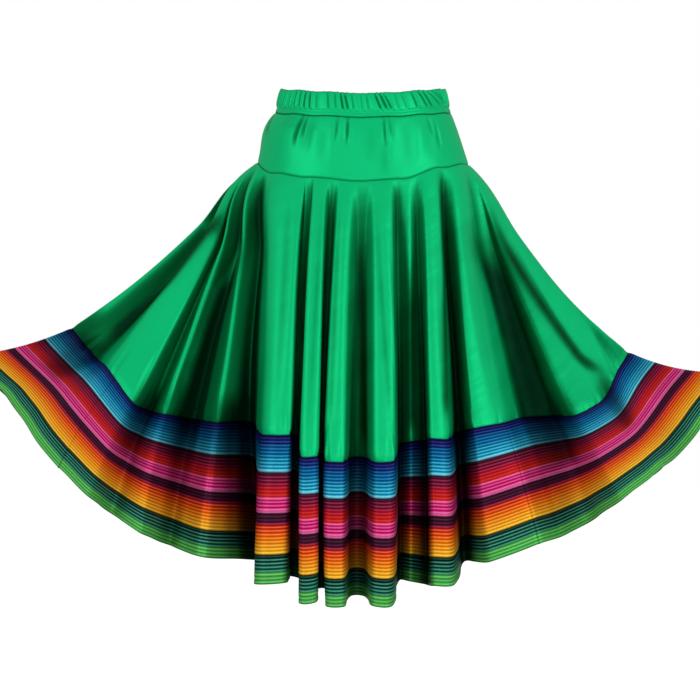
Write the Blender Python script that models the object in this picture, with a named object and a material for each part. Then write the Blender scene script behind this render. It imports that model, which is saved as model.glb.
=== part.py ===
"""A full flamenco skirt as worn, with its two sides held out: an elastic waistband, a hip
yoke in two halves, a full-circle skirt in two halves and a striped border in three lengths.

Metres, +Z up, the front towards -Y. The origin is the middle of the waistband, where the
wearer's waist holds the skirt up. Directions round the figure are in degrees,
counter-clockwise from above: 180 is the wearer's right side, 270 the front, 360 the
wearer's left side and 450 the back.

Two numbers give each point of the cloth. Its place counts crests and valleys from the left
tip round the figure. Its level is 0 at the waistband's top, 1 at the yoke's top, 2 at the
yoke seam and 3 at the hem.
"""

from collections import namedtuple

import bmesh
import bpy
import numpy as np

CLOTH_WALL = 0.0015
BAND_WALL = 0.0024
SEAM_GAP = 0.0003

WAIST_HALF_WIDTH = 0.1225
WAIST_HALF_DEPTH = 0.092
BAND_FLARE = 0.0085
BAND_HEIGHT = 0.036
BAND_GATHERS = 60
GATHER_HEIGHT = 0.0026

HIP_HALF_WIDTH = 0.158
HIP_HALF_DEPTH = 0.120

SKIRT_LENGTH = 0.42
BORDER_WIDTH = 0.20
BORDER_SEAM = SKIRT_LENGTH / (SKIRT_LENGTH + BORDER_WIDTH)
SKIRT_PUFF = 0.014
SKIRT_PUFF_END = 0.24
SIDE_POWER = 6
RIGHT_PUFF = 0.5
FOLD_BLOOM = 0.005
BLOOM_END = 0.55
FULL_FOLD = 0.05
BORDER_STIFFNESS = 2

# Where the border is held out, it flares before it falls: its arch is lifted by a share of
# its drop, which grows as it leans further out than this. Nearly level, it sags instead.
LEAN_WITHOUT_LIFT = 0.22
BORDER_LIFT = 0.15
LEAN_TO_SAG = 0.8
BORDER_SAG = 0.07

# How square the waves are: 0.5 rounds them most, and less makes flatter faces. They reach
# this squareness at a share of the way down the cloth.
SQUARENESS = 0.42
SQUARE_FROM = 0.30

STEPS_PER_FOLD = 3
STEPS_PER_GATHER = 4
SKIRT_ROWS = 7
BORDER_ROWS = 4
YOKE_ROWS = 3
BAND_ROWS = 1
SMALL_STEP = 0.002
TINY = 1e-12
FINE_STEPS_PER_FOLD = 40

# How high the waistband's middle and the yoke's lower seam run, and how far the yoke puffs
# out, by direction.
Heights = namedtuple("Heights", "direction band_middle yoke_seam yoke_puff")
HEIGHTS = [
    Heights(180, 0.000, -0.092, 0.008),
    Heights(215, -0.008, -0.114, 0.007),
    Heights(240, -0.014, -0.123, 0.004),
    Heights(268, -0.018, -0.130, 0.003),
    Heights(290, -0.016, -0.126, 0.003),
    Heights(315, -0.010, -0.107, 0.002),
    Heights(340, -0.004, -0.098, 0.001),
    Heights(360, 0.000, -0.096, 0.001),
    Heights(400, -0.003, -0.106, 0.003),
    Heights(450, -0.006, -0.118, 0.004),
    Heights(500, -0.003, -0.104, 0.006),
    Heights(540, 0.000, -0.092, 0.008),
]

# The crests and valleys of the cloth, in turn round the figure. Each leaves the yoke seam at
# its direction, crosses the border's seam and ends on the hem.
Fold = namedtuple("Fold", "name direction seam_x seam_y seam_z hem_x hem_y hem_z")
FOLDS = [
    Fold("left_tip", 171, -0.425, -0.080, -0.341, -0.573, -0.160, -0.382),
    Fold("left_tip_valley", 174.5, -0.392, -0.075, -0.382, -0.508, -0.190, -0.432),
    Fold("left_swag_upper", 177.5, -0.367, -0.130, -0.399, -0.439, -0.250, -0.514),
    Fold("left_swag", 181, -0.327, -0.165, -0.447, -0.378, -0.285, -0.569),
    Fold("left_swag_dip", 184.5, -0.307, -0.125, -0.460, -0.349, -0.235, -0.600),
    Fold("left_middle", 187.5, -0.283, -0.155, -0.464, -0.306, -0.270, -0.623),
    Fold("left_middle_valley", 192, -0.243, -0.110, -0.473, -0.271, -0.210, -0.646),
    Fold("left_inner", 198, -0.206, -0.200, -0.474, -0.220, -0.275, -0.656),
    Fold("left_inner_valley", 205, -0.163, -0.130, -0.476, -0.143, -0.190, -0.671),
    Fold("wide_left", 216, -0.141, -0.235, -0.490, -0.150, -0.285, -0.691),
    Fold("wide_right", 234.5, -0.102, -0.250, -0.490, -0.107, -0.290, -0.689),
    Fold("thin_valley_left", 238.5, -0.101, -0.195, -0.490, -0.102, -0.220, -0.688),
    Fold("thin_valley_right", 241.5, -0.083, -0.195, -0.500, -0.083, -0.225, -0.696),
    Fold("thin_left", 244, -0.088, -0.270, -0.518, -0.087, -0.310, -0.714),
    Fold("thin_right", 249.5, -0.063, -0.270, -0.518, -0.063, -0.310, -0.712),
    Fold("middle_valley_left", 252.5, -0.067, -0.200, -0.518, -0.068, -0.225, -0.706),
    Fold("middle_valley_right", 255, -0.052, -0.200, -0.520, -0.050, -0.225, -0.706),
    Fold("middle_left", 258, -0.055, -0.265, -0.525, -0.053, -0.305, -0.718),
    Fold("middle_left_inner", 263.5, -0.028, -0.270, -0.526, -0.029, -0.310, -0.719),
    Fold("recess_left", 267.5, -0.018, -0.222, -0.522, -0.019, -0.258, -0.711),
    Fold("recess_right", 272, 0.000, -0.222, -0.522, -0.001, -0.258, -0.711),
    Fold("middle_right_inner", 276, 0.014, -0.270, -0.526, 0.012, -0.310, -0.718),
    Fold("middle_right", 283.5, 0.042, -0.265, -0.524, 0.038, -0.305, -0.718),
    Fold("dark_valley", 288, 0.049, -0.190, -0.506, 0.048, -0.215, -0.695),
    Fold("dark_face", 294, 0.066, -0.200, -0.501, 0.065, -0.225, -0.695),
    Fold("dark_edge", 299, 0.087, -0.185, -0.500, 0.089, -0.212, -0.701),
    Fold("right_left", 303.5, 0.091, -0.245, -0.495, 0.093, -0.285, -0.694),
    Fold("right_right", 311, 0.117, -0.240, -0.496, 0.123, -0.280, -0.693),
    Fold("right_inner_valley", 316.5, 0.134, -0.175, -0.489, 0.140, -0.215, -0.668),
    Fold("right_inner", 324, 0.153, -0.228, -0.481, 0.170, -0.280, -0.662),
    Fold("right_join_crest", 332.5, 0.197, -0.205, -0.474, 0.237, -0.285, -0.637),
    Fold("right_swag_valley_left", 338, 0.230, -0.135, -0.469, 0.274, -0.235, -0.631),
    Fold("right_swag_valley_right", 342.5, 0.270, -0.130, -0.467, 0.314, -0.240, -0.609),
    Fold("right_swag", 347, 0.296, -0.180, -0.465, 0.348, -0.300, -0.575),
    Fold("right_swag_upper", 351.5, 0.342, -0.150, -0.442, 0.402, -0.265, -0.539),
    Fold("right_tip_valley", 356.5, 0.368, -0.105, -0.402, 0.451, -0.200, -0.509),
    Fold("right_tip", 364, 0.385, -0.085, -0.376, 0.532, -0.170, -0.404),
    Fold("back_1_valley", 375, 0.355, -0.025, -0.398, 0.480, -0.030, -0.480),
    Fold("back_1_right", 382, 0.345, 0.040, -0.420, 0.462, 0.080, -0.555),
    Fold("back_1_left", 389, 0.315, 0.085, -0.440, 0.415, 0.150, -0.592),
    Fold("back_2_valley", 395, 0.268, 0.085, -0.463, 0.350, 0.125, -0.620),
    Fold("back_2_right", 401, 0.250, 0.145, -0.478, 0.318, 0.215, -0.645),
    Fold("back_2_left", 408, 0.212, 0.180, -0.490, 0.262, 0.255, -0.664),
    Fold("back_3_valley", 414, 0.178, 0.150, -0.498, 0.216, 0.190, -0.673),
    Fold("back_3_right", 420, 0.160, 0.205, -0.502, 0.192, 0.265, -0.688),
    Fold("back_3_left", 427, 0.120, 0.232, -0.507, 0.142, 0.295, -0.699),
    Fold("back_4_valley", 432, 0.095, 0.180, -0.511, 0.112, 0.218, -0.698),
    Fold("back_4_right", 438, 0.070, 0.237, -0.513, 0.082, 0.294, -0.707),
    Fold("back_4_left", 445, 0.027, 0.247, -0.516, 0.033, 0.306, -0.712),
    Fold("back_5_valley", 450, 0.000, 0.195, -0.517, 0.000, 0.235, -0.708),
    Fold("back_5_right", 455, -0.027, 0.245, -0.516, -0.032, 0.302, -0.712),
    Fold("back_5_left", 462, -0.070, 0.238, -0.512, -0.083, 0.298, -0.706),
    Fold("back_6_valley", 468, -0.097, 0.180, -0.509, -0.115, 0.220, -0.697),
    Fold("back_6_right", 473, -0.124, 0.230, -0.506, -0.147, 0.290, -0.697),
    Fold("back_6_left", 480, -0.164, 0.206, -0.499, -0.197, 0.266, -0.685),
    Fold("back_7_valley", 486, -0.190, 0.150, -0.492, -0.228, 0.190, -0.671),
    Fold("back_7_right", 492, -0.230, 0.178, -0.477, -0.283, 0.243, -0.656),
    Fold("back_7_left", 499, -0.270, 0.145, -0.460, -0.335, 0.205, -0.632),
    Fold("back_8_valley", 505, -0.300, 0.085, -0.443, -0.375, 0.120, -0.598),
    Fold("back_8_right", 511, -0.345, 0.072, -0.420, -0.435, 0.118, -0.562),
    Fold("back_8_left", 518, -0.378, 0.035, -0.397, -0.480, 0.065, -0.522),
    Fold("back_9_valley", 525, -0.396, -0.015, -0.373, -0.512, -0.055, -0.455),
]
FOLD_COUNT = len(FOLDS)
LEFT_SIDE = 0
RIGHT_SIDE = 36
LEFT_JOIN = 2 + 1 / STEPS_PER_FOLD
RIGHT_JOIN = 30
BACK_JOIN = 47 + 2 / STEPS_PER_FOLD

COLLECTION = "flamenco_skirt"
GREEN = (0.0, 0.42, 0.17, 1)
STRIPES = (0.30, 0.06, 0.10, 1)
SATIN_ROUGHNESS = 0.4


def ease(x):
    """0 below 0, 1 above 1, and smooth between."""
    x = np.clip(x, 0, 1)
    return x * x * (3 - 2 * x)


def unit(vectors):
    """Vectors of length 1, or none where there was none."""
    lengths = np.linalg.norm(vectors, axis=-1, keepdims=True)
    return vectors / np.maximum(lengths, TINY)


def height_at(direction, column):
    """A value from the table above, eased from row to row."""
    direction = 180 + (direction - 180) % 360
    rows = np.array([row.direction for row in HEIGHTS], float)
    heights = np.array([getattr(row, column) for row in HEIGHTS])
    low = np.clip(np.searchsorted(rows, direction, side="right") - 1, 0, len(rows) - 2)
    share = ease((direction - rows[low]) / (rows[low + 1] - rows[low]))
    return heights[low] * (1 - share) + heights[low + 1] * share


def oval(direction, half_width, half_depth, height):
    """Points on an upright oval round the figure."""
    angle = np.radians(direction)
    sides = half_width * np.cos(angle), half_depth * np.sin(angle), height
    return np.stack(np.broadcast_arrays(*sides), -1)


def puff(t):
    """How cloth springs out below a seam: 0 there, 1 a third of the way, 0 at the end."""
    t = np.clip(t, 0, 1)
    return t * (1 - t) ** 2 * 27 / 4


def band_surface(direction, share):
    """The waistband's middle surface: share 0 is its top edge and 1 its lower edge."""
    flare = BAND_FLARE * share
    height = height_at(direction, "band_middle") + BAND_HEIGHT * (0.5 - share)
    return oval(direction, WAIST_HALF_WIDTH + flare, WAIST_HALF_DEPTH + flare, height)


def yoke_surface(direction, share):
    """The yoke's middle surface: share 0 is at the waistband and 1 at the yoke seam."""
    bulge = height_at(direction, "yoke_puff") * puff(share)
    top_width = WAIST_HALF_WIDTH + BAND_FLARE
    top_depth = WAIST_HALF_DEPTH + BAND_FLARE
    half_width = top_width + (HIP_HALF_WIDTH - top_width) * share + bulge
    half_depth = top_depth + (HIP_HALF_DEPTH - top_depth) * share + bulge
    top = height_at(direction, "band_middle") - BAND_HEIGHT / 2
    bottom = height_at(direction, "yoke_seam")
    return oval(direction, half_width, half_depth, top + (bottom - top) * share)


def arch(start, control, end, t):
    """A parabola from start to end, pulled towards control."""
    return start * (1 - t) ** 2 + control * 2 * t * (1 - t) + end * t * t


def crest_heights(seams):
    """1 for a full crest, -1 for a full valley, by how far each stands out of the line
    between its neighbours."""
    between = (np.roll(seams, 1, 0) + np.roll(seams, -1, 0)) / 2
    beyond = np.linalg.norm(seams[:, :2], axis=1) - np.linalg.norm(between[:, :2], axis=1)
    return np.clip(beyond / FULL_FOLD, -1, 1)


def fold_curves(shares):
    """A row for each share of the cloth's length, with the points of all crests and valleys
    there. Each is an arch down to the border's seam and a flatter one to the hem."""
    table = np.array([fold[1:] for fold in FOLDS], float)
    starts = yoke_surface(table[:, 0], 1)
    seams = table[:, 1:4]
    hems = table[:, 4:7]
    lean = unit(hems - starts)
    border_lean = unit(lean + BORDER_STIFFNESS * unit(hems - seams))
    above = seams - lean * np.linalg.norm(seams - starts, axis=1, keepdims=True) / 2
    below = seams + border_lean * np.linalg.norm(hems - seams, axis=1, keepdims=True) / 2
    level_share = np.linalg.norm(unit(hems - seams)[:, :2], axis=1)
    lift = np.clip(level_share - LEAN_WITHOUT_LIFT, 0, BORDER_LIFT)
    sag = BORDER_SAG * BORDER_WIDTH * ease((level_share - LEAN_TO_SAG) / (1 - LEAN_TO_SAG))
    below[:, 2] += lift * (seams - hems)[:, 2] - sag
    share = np.asarray(shares)[:, None, None]
    out = unit(starts * [HIP_HALF_DEPTH, HIP_HALF_WIDTH, 0])
    bloom = FOLD_BLOOM * crest_heights(seams)[:, None] * puff(share / BLOOM_END)
    towards = np.cos(np.radians(table[:, :1]))
    sideways = np.abs(towards) ** SIDE_POWER * np.where(towards > 0, RIGHT_PUFF, 1)
    spring = out * (SKIRT_PUFF * sideways * puff(share / SKIRT_PUFF_END) + bloom)
    upper = arch(starts, above, seams, share / BORDER_SEAM) + spring
    lower = arch(seams, below, hems, (share - BORDER_SEAM) / (1 - BORDER_SEAM))
    return starts, np.where(share < BORDER_SEAM, upper, lower)


def wave(before, after, slope_before, slope_after, t):
    """A cubic from one fold to the next, with the slope that each fold gives it."""
    rise = t * t * (3 - 2 * t)
    sway = slope_before * t * (1 - t) ** 2 - slope_after * t * t * (1 - t)
    return before * (1 - rise) + after * rise + sway


def spans(points, axis):
    """From each fold's neighbour before it to its neighbour after it."""
    return np.roll(points, -1, axis) - np.roll(points, 1, axis)


def direction_at(places):
    """The direction in which the cloth at each place leaves the yoke."""
    index = np.floor(places).astype(int)
    directions = np.array([fold.direction for fold in FOLDS], float)

    def of(fold):
        return directions[fold % FOLD_COUNT] + 360 * (fold // FOLD_COUNT)

    before = (of(index + 1) - of(index - 1)) / 2
    after = (of(index + 2) - of(index)) / 2
    return wave(of(index), of(index + 1), before, after, places - index)


def skirt_surface(places, shares):
    """The middle surface of skirt and border: share 0 is at the yoke seam and 1 at the hem.
    The folds grow from nothing at the seam."""
    index = np.floor(places).astype(int)
    a = index % FOLD_COUNT
    b = (index + 1) % FOLD_COUNT
    starts, curves = fold_curves(shares)
    squareness = 0.5 + (SQUARENESS - 0.5) * ease(np.asarray(shares) / SQUARE_FROM)
    slopes = squareness[:, None, None] * spans(curves, 1) - 0.5 * spans(starts, 0)
    moved = curves - starts
    t = (places - index)[None, :, None]
    waves = wave(moved[:, a], moved[:, b], slopes[:, a], slopes[:, b], t)
    return yoke_surface(direction_at(places), 1) + waves


def garment(places, levels):
    """Middle points of the cloth: a row for each level, a column for each place."""
    direction = direction_at(places)[None, :]
    level = levels[:, None]
    band = band_surface(direction, np.clip(level, 0, 1))
    yoke = yoke_surface(direction, np.clip(level - 1, 0, 1))
    skirt = skirt_surface(places, np.clip(levels - 2, 0, 1))
    zone = level[..., None]
    return np.where(zone < 1, band, np.where(zone < 2, yoke, skirt))


def cloth_piece(places, levels, closed):
    """Middle points and outward normals of one piece. Each edge is pulled in by half the
    gap of a seam, and two pieces that meet at a seam have the same normals there: halfway
    between the two, or the yoke's own at the yoke seam."""
    middle = garment(places, levels)
    along = unit(garment(places + SMALL_STEP, levels) - garment(places - SMALL_STEP, levels))
    above = unit(middle - garment(places, levels - SMALL_STEP))
    below = unit(garment(places, levels + SMALL_STEP) - middle)
    below[levels == 2] = 0
    normals = unit(np.cross(above + below, along))
    down = np.cross(along, normals)
    middle[0] += down[0] * SEAM_GAP / 2
    middle[-1] -= down[-1] * SEAM_GAP / 2
    if not closed:
        across = unit(np.cross(normals, above + below))
        middle[:, 0] += across[:, 0] * SEAM_GAP / 2
        middle[:, -1] -= across[:, -1] * SEAM_GAP / 2
    return middle, normals


def add_wall(name, outer_points, inner_points, closed, material):
    """One cloth piece: a wall between two grids of points whose rows run round the figure.
    Closed means that the last column joins the first. Its edges are cut into triangles the
    same way on both sides of a seam, so that two twisted edges stay apart."""
    mesh = bmesh.new()
    outer, inner = (
        [[mesh.verts.new(point) for point in row] for row in side]
        for side in (outer_points, inner_points)
    )
    rows = len(outer)
    columns = len(outer[0])
    pairs = [(j, (j + 1) % columns) for j in range(columns if closed else columns - 1)]
    for j, k in pairs:
        for i in range(rows - 1):
            mesh.faces.new((outer[i][j], outer[i + 1][j], outer[i + 1][k], outer[i][k]))
            mesh.faces.new((inner[i][j], inner[i][k], inner[i + 1][k], inner[i + 1][j]))
        mesh.faces.new((outer[0][j], outer[0][k], inner[0][k]))
        mesh.faces.new((outer[0][j], inner[0][k], inner[0][j]))
        mesh.faces.new((outer[-1][j], inner[-1][j], inner[-1][k]))
        mesh.faces.new((outer[-1][j], inner[-1][k], outer[-1][k]))
    if not closed:
        for i in range(rows - 1):
            mesh.faces.new((outer[i][0], inner[i][0], inner[i + 1][0]))
            mesh.faces.new((outer[i][0], inner[i + 1][0], outer[i + 1][0]))
            mesh.faces.new((outer[i][-1], outer[i + 1][-1], inner[i + 1][-1]))
            mesh.faces.new((outer[i][-1], inner[i + 1][-1], inner[i][-1]))
    data = bpy.data.meshes.new(name)
    mesh.to_mesh(data)
    mesh.free()
    data.shade_smooth()
    data.materials.append(material)
    piece = bpy.data.objects.new(name, data)
    bpy.data.collections[COLLECTION].objects.link(piece)
    return piece


def satin(name, colour):
    """A smooth cloth, a little glossy."""
    material = bpy.data.materials.new(name)
    material.use_nodes = True
    shader = material.node_tree.nodes["Principled BSDF"]
    shader.inputs["Base Color"].default_value = colour
    shader.inputs["Roughness"].default_value = SATIN_ROUGHNESS
    shader.inputs["Metallic"].default_value = 0.0
    material.diffuse_color = colour
    return material


def add_band(material):
    """The elastic casing, whose gathers stand out of a plain inside."""
    columns = BAND_GATHERS * STEPS_PER_GATHER
    turn = np.arange(columns) / columns
    fine_places = np.linspace(0, FOLD_COUNT, FINE_STEPS_PER_FOLD * FOLD_COUNT + 1)
    fine_directions = direction_at(fine_places)
    directions = fine_directions[0] + 360 * turn
    places = np.interp(directions, fine_directions, fine_places)
    middle, normals = cloth_piece(places, np.linspace(0, 1, BAND_ROWS + 1), True)
    ridges = 0.5 + 0.5 * np.cos(2 * np.pi * BAND_GATHERS * turn)
    outside = (BAND_WALL / 2 + GATHER_HEIGHT * ridges)[None, :, None]
    outer = middle + normals * outside
    inner = middle - normals * BAND_WALL / 2
    add_wall("waistband", outer, inner, True, material)


def add_panel(name, start, end, levels, material):
    """One flat-cut piece between two places and along these levels."""
    places = np.linspace(start, end, round((end - start) * STEPS_PER_FOLD) + 1)
    middle, normals = cloth_piece(places, levels, False)
    outer = middle + normals * CLOTH_WALL / 2
    inner = middle - normals * CLOTH_WALL / 2
    add_wall(name, outer, inner, False, material)


def add_yoke(material):
    """The hip yoke's front and back, sewn at the sides."""
    levels = np.linspace(1, 2, YOKE_ROWS + 1)
    add_panel("yoke_front", LEFT_SIDE, RIGHT_SIDE, levels, material)
    add_panel("yoke_back", RIGHT_SIDE, FOLD_COUNT, levels, material)


def add_skirt(material):
    """The circle skirt's front and back, sewn at the sides, down to the border."""
    levels = 2 + np.linspace(0, BORDER_SEAM, SKIRT_ROWS + 1)
    add_panel("skirt_front", LEFT_SIDE, RIGHT_SIDE, levels, material)
    add_panel("skirt_back", RIGHT_SIDE, FOLD_COUNT, levels, material)


def add_border(material):
    """The striped border's three lengths, joined end to end round the hem."""
    levels = 2 + np.linspace(BORDER_SEAM, 1, BORDER_ROWS + 1)
    add_panel("border_front", LEFT_JOIN, RIGHT_JOIN, levels, material)
    add_panel("border_right", RIGHT_JOIN, BACK_JOIN, levels, material)
    turned = LEFT_JOIN + FOLD_COUNT
    add_panel("border_left", BACK_JOIN, turned, levels, material)


def main():
    for leftover in list(bpy.data.objects):
        bpy.data.objects.remove(leftover)
    collection = bpy.data.collections.new(COLLECTION)
    bpy.context.scene.collection.children.link(collection)
    green = satin("green_satin", GREEN)
    striped = satin("striped_satin", STRIPES)
    add_band(green)
    add_yoke(green)
    add_skirt(green)
    add_border(striped)


main()
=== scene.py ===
"""The looks of a full flamenco skirt: green satin with a gathered waistband, a hip yoke, a
full circle of folds and a wide border of woven stripes.

Metres, +Z up, the front towards -Y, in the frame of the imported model. Each piece is a thin
shell on the form of its solid, with finer gathers, puckers and creases, and replaces it.

Two numbers give each point of the cloth. Its place counts crests and valleys from the left
tip round the figure. Its level is 0 at the waistband's top, 1 at the yoke's top, 2 at the
yoke seam and 3 at the hem.
"""

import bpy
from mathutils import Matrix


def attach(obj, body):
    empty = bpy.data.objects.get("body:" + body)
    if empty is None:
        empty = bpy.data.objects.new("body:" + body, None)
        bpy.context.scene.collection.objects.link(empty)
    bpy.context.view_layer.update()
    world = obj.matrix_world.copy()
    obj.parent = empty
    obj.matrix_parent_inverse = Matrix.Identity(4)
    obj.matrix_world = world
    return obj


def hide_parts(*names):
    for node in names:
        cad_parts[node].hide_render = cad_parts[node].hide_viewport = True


bl_info = {
    "name": "Flamenco Skirt",
    "version": (1, 0, 0),
    "blender": (4, 5, 0),
    "location": "View3D > Sidebar > Skirt",
    "description": "Builds a satin flamenco skirt with a striped border, and its studio",
    "category": "Add Mesh",
}

from collections import namedtuple

import bpy
import numpy as np

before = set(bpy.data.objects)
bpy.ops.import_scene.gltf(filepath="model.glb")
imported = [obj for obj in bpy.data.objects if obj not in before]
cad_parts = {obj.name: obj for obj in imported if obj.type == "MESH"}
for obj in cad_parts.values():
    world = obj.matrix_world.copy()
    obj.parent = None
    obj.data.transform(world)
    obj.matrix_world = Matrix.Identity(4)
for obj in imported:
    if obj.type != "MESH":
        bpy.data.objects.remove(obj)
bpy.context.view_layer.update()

BODY = "root"
TINY = 1e-12

# The form of the solids, as they were modelled.
WAIST_HALF_WIDTH = 0.1225
WAIST_HALF_DEPTH = 0.092
BAND_FLARE = 0.0085
BAND_HEIGHT = 0.036
HIP_HALF_WIDTH = 0.158
HIP_HALF_DEPTH = 0.120

SKIRT_LENGTH = 0.42
BORDER_WIDTH = 0.20
BORDER_SEAM = SKIRT_LENGTH / (SKIRT_LENGTH + BORDER_WIDTH)
SKIRT_PUFF = 0.014
SKIRT_PUFF_END = 0.24
SIDE_POWER = 6
RIGHT_PUFF = 0.5
FOLD_BLOOM = 0.005
BLOOM_END = 0.55
FULL_FOLD = 0.05
BORDER_STIFFNESS = 2

# Where the border is held out, it flares before it falls: its arch is lifted by a share of
# its drop, which grows as it leans further out than this. Nearly level, it sags instead.
LEAN_WITHOUT_LIFT = 0.22
BORDER_LIFT = 0.15
LEAN_TO_SAG = 0.8
BORDER_SAG = 0.07

# How square the waves are: 0.5 rounds them most, and less makes flatter faces. They reach
# this squareness at a share of the way down the cloth.
SQUARENESS = 0.42
SQUARE_FROM = 0.30

# How high the waistband's middle and the yoke's lower seam run, and how far the yoke puffs
# out, by direction.
Heights = namedtuple("Heights", "direction band_middle yoke_seam yoke_puff")
HEIGHTS = [
    Heights(180, 0.000, -0.092, 0.008),
    Heights(215, -0.008, -0.114, 0.007),
    Heights(240, -0.014, -0.123, 0.004),
    Heights(268, -0.018, -0.130, 0.003),
    Heights(290, -0.016, -0.126, 0.003),
    Heights(315, -0.010, -0.107, 0.002),
    Heights(340, -0.004, -0.098, 0.001),
    Heights(360, 0.000, -0.096, 0.001),
    Heights(400, -0.003, -0.106, 0.003),
    Heights(450, -0.006, -0.118, 0.004),
    Heights(500, -0.003, -0.104, 0.006),
    Heights(540, 0.000, -0.092, 0.008),
]

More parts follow.
